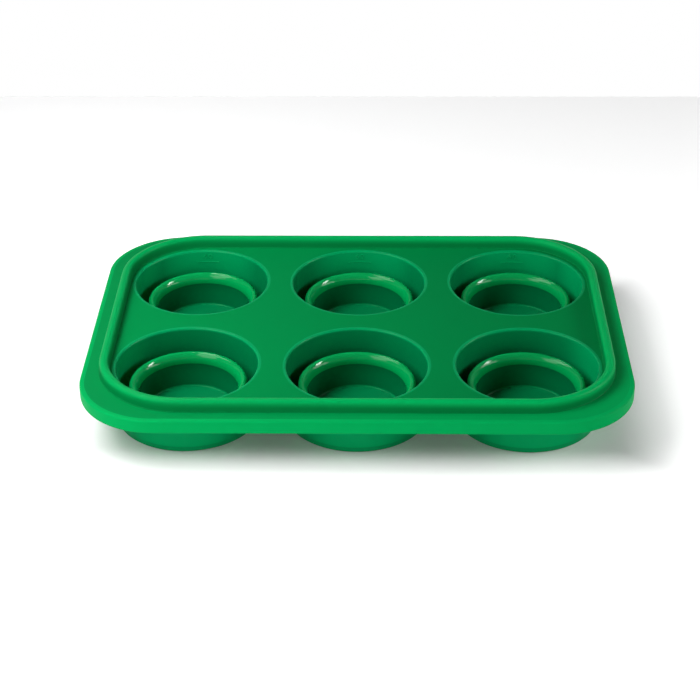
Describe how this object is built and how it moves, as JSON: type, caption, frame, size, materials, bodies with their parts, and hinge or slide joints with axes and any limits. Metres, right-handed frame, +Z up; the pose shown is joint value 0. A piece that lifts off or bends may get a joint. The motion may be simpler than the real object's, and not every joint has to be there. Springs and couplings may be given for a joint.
{
  "type": "baby food freezer tray",
  "caption": "Soft rectangular tray with six round cups whose floors push up through a rolled fold, a raised bead for a lid and a turned-down rim.",
  "frame": {"origin": "centre of the footprint on the surface that the tray stands on", "axes": "+Z up, +X along the rows of three cups, +Y towards the row with the fill marks"},
  "size_m": [0.264, 0.185, 0.0335],
  "materials": {
    "satin_silicone": "satin",
    "polished_silicone": "gloss"
  },
  "bodies": {
    "tray": {"deck": "satin_silicone", "lid_bead": "satin_silicone", "rim_ledge": "satin_silicone", "rim_skirt": "satin_silicone", "cup_wall_1": "satin_silicone", "foot_ring_1": "satin_silicone", "roll_ring_1": "polished_silicone", "inner_sleeve_1": "polished_silicone", "cup_wall_2": "satin_silicone", "foot_ring_2": "satin_silicone", "roll_ring_2": "polished_silicone", "inner_sleeve_2": "polished_silicone", "cup_wall_3": "satin_silicone", "foot_ring_3": "satin_silicone", "roll_ring_3": "polished_silicone", "inner_sleeve_3": "polished_silicone", "cup_wall_4": "satin_silicone", "foot_ring_4": "satin_silicone", "roll_ring_4": "polished_silicone", "inner_sleeve_4": "polished_silicone", "cup_wall_5": "satin_silicone", "foot_ring_5": "satin_silicone", "roll_ring_5": "polished_silicone", "inner_sleeve_5": "polished_silicone", "cup_wall_6": "satin_silicone", "foot_ring_6": "satin_silicone", "roll_ring_6": "polished_silicone", "inner_sleeve_6": "polished_silicone"},
    "floor_1": {"push_floor_1": "satin_silicone"},
    "floor_2": {"push_floor_2": "satin_silicone"},
    "floor_3": {"push_floor_3": "satin_silicone"},
    "floor_4": {"push_floor_4": "satin_silicone"},
    "floor_5": {"push_floor_5": "satin_silicone"},
    "floor_6": {"push_floor_6": "satin_silicone"}
  },
  "joints": [
    {"name": "push_up_1", "type": "slide", "parent": "tray", "child": "floor_1", "axis": [0, 0, 1], "range_m": [0, 0.028], "stiffness_N_per_m": 200, "deforming": ["inner_sleeve_1"]},
    {"name": "push_up_2", "type": "slide", "parent": "tray", "child": "floor_2", "axis": [0, 0, 1], "range_m": [0, 0.028], "stiffness_N_per_m": 200, "deforming": ["inner_sleeve_2"]},
    {"name": "push_up_3", "type": "slide", "parent": "tray", "child": "floor_3", "axis": [0, 0, 1], "range_m": [0, 0.028], "stiffness_N_per_m": 200, "deforming": ["inner_sleeve_3"]},
    {"name": "push_up_4", "type": "slide", "parent": "tray", "child": "floor_4", "axis": [0, 0, 1], "range_m": [0, 0.028], "stiffness_N_per_m": 200, "deforming": ["inner_sleeve_4"]},
    {"name": "push_up_5", "type": "slide", "parent": "tray", "child": "floor_5", "axis": [0, 0, 1], "range_m": [0, 0.028], "stiffness_N_per_m": 200, "deforming": ["inner_sleeve_5"]},
    {"name": "push_up_6", "type": "slide", "parent": "tray", "child": "floor_6", "axis": [0, 0, 1], "range_m": [0, 0.028], "stiffness_N_per_m": 200, "deforming": ["inner_sleeve_6"]}
  ]
}
